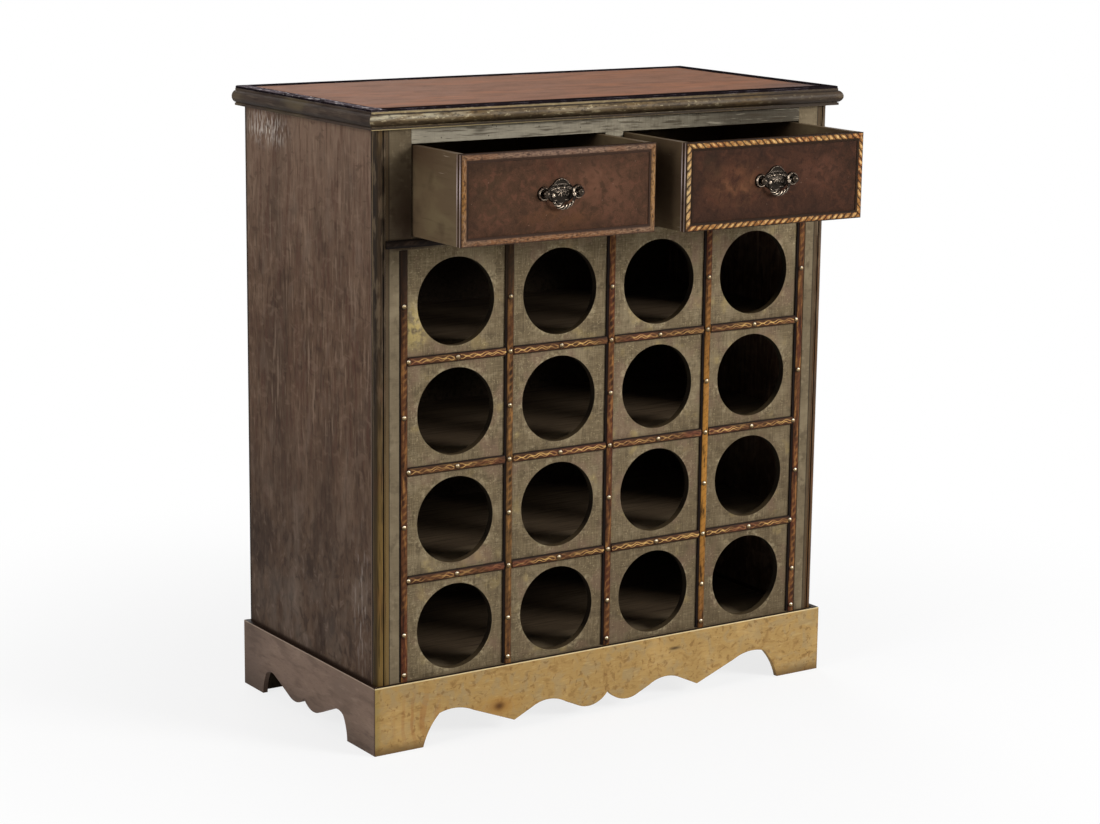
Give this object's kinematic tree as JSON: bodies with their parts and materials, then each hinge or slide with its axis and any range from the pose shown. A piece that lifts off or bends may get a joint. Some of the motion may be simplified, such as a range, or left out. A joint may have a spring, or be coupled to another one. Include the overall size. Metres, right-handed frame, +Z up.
{
  "type": "wine cabinet",
  "caption": "Wooden wine cabinet with a rack of round bottle holes below two leather-faced drawers, a leather-inlaid top and a scrolled plinth.",
  "frame": {"origin": "on the floor, at the centre of the footprint with both drawers pulled out as at rest", "axes": "+Z up, the front with the drawers and bottle holes faces -Y, +X to the right seen from the front"},
  "size_m": [0.806, 0.5503, 0.9],
  "materials": {
    "side_wood": "dark stained wood, satin, streaked",
    "frame_wood": "distressed olive grey paint on wood",
    "rack_linen": "grey olive distressed panel",
    "moulding_wood": "distressed olive brown moulding",
    "plinth_wood": "worn golden wood",
    "plinth_side_wood": "dark stained wood",
    "inner_wood": "plain stained inner wood",
    "drawer_wood": "smooth stained drawer wood",
    "top_leather": "aged chestnut leather",
    "border_leather": "near black leather",
    "strip_leather": "braided chestnut leather",
    "drawer_leather": "mottled dark red brown leather",
    "trim_leather": "braided golden leather trim",
    "nail_brass": "aged brass",
    "pull_bronze": "dark antique bronze"
  },
  "bodies": {
    "carcass": {"side_panel_left": "side_wood", "side_panel_right": "side_wood", "back_panel": "inner_wood", "bottom_board": "inner_wood", "drawer_deck": "inner_wood", "bottle_shelf_1": "inner_wood", "bottle_shelf_2": "inner_wood", "bottle_shelf_3": "inner_wood", "stile_left": "frame_wood", "stile_right": "frame_wood", "top_rail": "frame_wood", "drawer_rail": "frame_wood", "base_rail": "frame_wood", "centre_stile": "frame_wood", "corner_moulding_left": "moulding_wood", "corner_moulding_right": "moulding_wood", "rack_panels_row_1": "rack_linen", "rack_panels_row_2": "rack_linen", "rack_panels_row_3": "rack_linen", "rack_panels_row_4": "rack_linen", "upright_strips": "strip_leather", "cross_strips": "strip_leather", "rail_strip": "strip_leather", "strip_nails": "nail_brass", "plinth_front": "plinth_wood", "plinth_left": "plinth_side_wood", "plinth_right": "plinth_side_wood", "plinth_back": "plinth_side_wood", "plinth_blocks": "inner_wood", "top_board": "inner_wood", "top_edge_front": "moulding_wood", "top_edge_left": "moulding_wood", "top_edge_right": "moulding_wood", "top_border": "border_leather", "top_leather": "top_leather", "drawer_guides": "inner_wood", "drawer_kickers": "inner_wood", "drawer_stops": "inner_wood"},
    "left_drawer": {"left_drawer_front": "drawer_wood", "left_drawer_leather": "drawer_leather", "left_drawer_trim": "trim_leather", "left_drawer_side_left": "drawer_wood", "left_drawer_side_right": "drawer_wood", "left_drawer_back": "drawer_wood", "left_drawer_bottom": "drawer_wood", "left_pull_plate": "pull_bronze", "left_pull_posts": "pull_bronze", "left_pull_nuts": "pull_bronze"},
    "left_bail": {"left_pull_bail": "pull_bronze"},
    "right_drawer": {"right_drawer_front": "drawer_wood", "right_drawer_leather": "drawer_leather", "right_drawer_trim": "trim_leather", "right_drawer_side_left": "drawer_wood", "right_drawer_side_right": "drawer_wood", "right_drawer_back": "drawer_wood", "right_drawer_bottom": "drawer_wood", "right_pull_plate": "pull_bronze", "right_pull_posts": "pull_bronze", "right_pull_nuts": "pull_bronze"},
    "right_bail": {"right_pull_bail": "pull_bronze"}
  },
  "joints": [
    {"name": "left_drawer_slide", "type": "slide", "parent": "carcass", "child": "left_drawer", "axis": [0, -1, 0], "range_m": [-0.126, 0.104]},
    {"name": "left_bail_swing", "type": "hinge", "parent": "left_drawer", "child": "left_bail", "pos_m": [-0.173, -0.24465, 0.789], "axis": [-1, 0, 0], "range_deg": [-8, 165]},
    {"name": "right_drawer_slide", "type": "slide", "parent": "carcass", "child": "right_drawer", "axis": [0, -1, 0], "range_m": [-0.151, 0.079]},
    {"name": "right_bail_swing", "type": "hinge", "parent": "right_drawer", "child": "right_bail", "pos_m": [0.173, -0.26965, 0.789], "axis": [-1, 0, 0], "range_deg": [-8, 165]}
  ]
}
